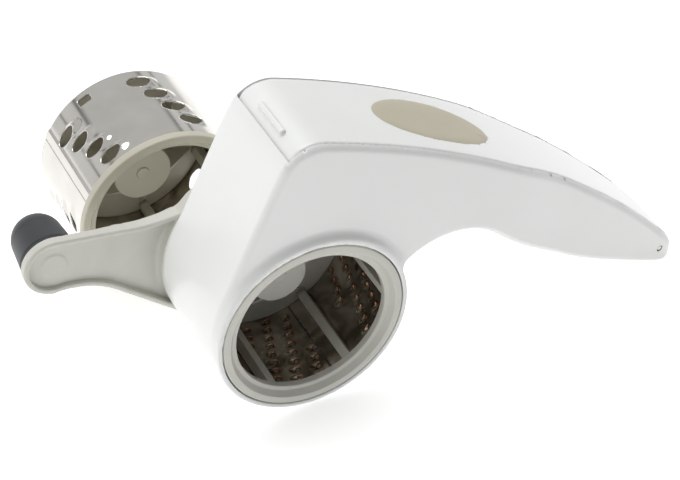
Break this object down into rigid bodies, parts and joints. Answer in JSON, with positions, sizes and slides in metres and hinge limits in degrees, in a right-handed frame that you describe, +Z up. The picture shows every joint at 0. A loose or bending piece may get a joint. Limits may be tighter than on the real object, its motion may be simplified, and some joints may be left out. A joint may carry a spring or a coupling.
{
  "type": "rotary cheese grater",
  "caption": "Hand-held rotary cheese grater: hinged press handle over a hopper, steel grating drum turned by a crank, and a spare slicing drum.",
  "frame": {"origin": "bottom centre of the box of the whole set on the table", "axes": "+Z up, -Y from the crank to the drum's open mouth along the drum's axis, +X towards the tip of the handle"},
  "size_m": [0.2426, 0.1248, 0.1108],
  "materials": {
    "white_abs": "moulded, soft gloss",
    "pad_beige": "soft-touch, matt",
    "grey_plastic": "moulded, satin",
    "beige_plastic": "moulded, satin",
    "polished_steel": "bright rolled stainless sheet",
    "pin_steel": "turned",
    "knob_black": "soft-touch, matt",
    "knob_plastic": "moulded"
  },
  "bodies": {
    "body": {"body_shell": "white_abs", "hinge_pin": "pin_steel"},
    "lid": {"lid_shell": "white_abs", "grip_pad": "pad_beige", "pusher_block": "white_abs"},
    "crank": {"crank_arm": "grey_plastic", "crank_spigot": "grey_plastic", "knob_axle": "pin_steel"},
    "knob": {"knob_core": "knob_plastic", "knob_grip": "knob_black"},
    "rasp_drum": {"rasp_cage": "grey_plastic", "rasp_carrier": "grey_plastic", "rasp_hub_cap": "grey_plastic", "rasp_sheet": "polished_steel"},
    "spare_drum": {"slicing_cage": "beige_plastic", "slicing_carrier": "beige_plastic", "slicing_hub_cap": "beige_plastic", "slicing_sheet": "polished_steel"}
  },
  "joints": [
    {"name": "lid_hinge", "type": "hinge", "parent": "body", "child": "lid", "pos_m": [0.11298, -0.03835, 0.008], "axis": [0, 1, 0], "range_deg": [0, 70]},
    {"name": "crank_spin", "type": "hinge", "parent": "body", "child": "crank", "pos_m": [-0.03652, -0.01435, 0.036], "axis": [0, 1, 0], "continuous": true},
    {"name": "drum_pull", "type": "slide", "parent": "crank", "child": "rasp_drum", "axis": [0, -1, 0], "range_m": [0, 0.05]},
    {"name": "knob_spin", "type": "hinge", "parent": "crank", "child": "knob", "pos_m": [-0.11028, -0.00235, 0.05168], "axis": [0, 1, 0], "continuous": true},
    {"name": "spare_drum_lift", "type": "slide", "parent": "body", "child": "spare_drum", "axis": [0, 0, 1], "range_m": [0, 0.12]}
  ]
}
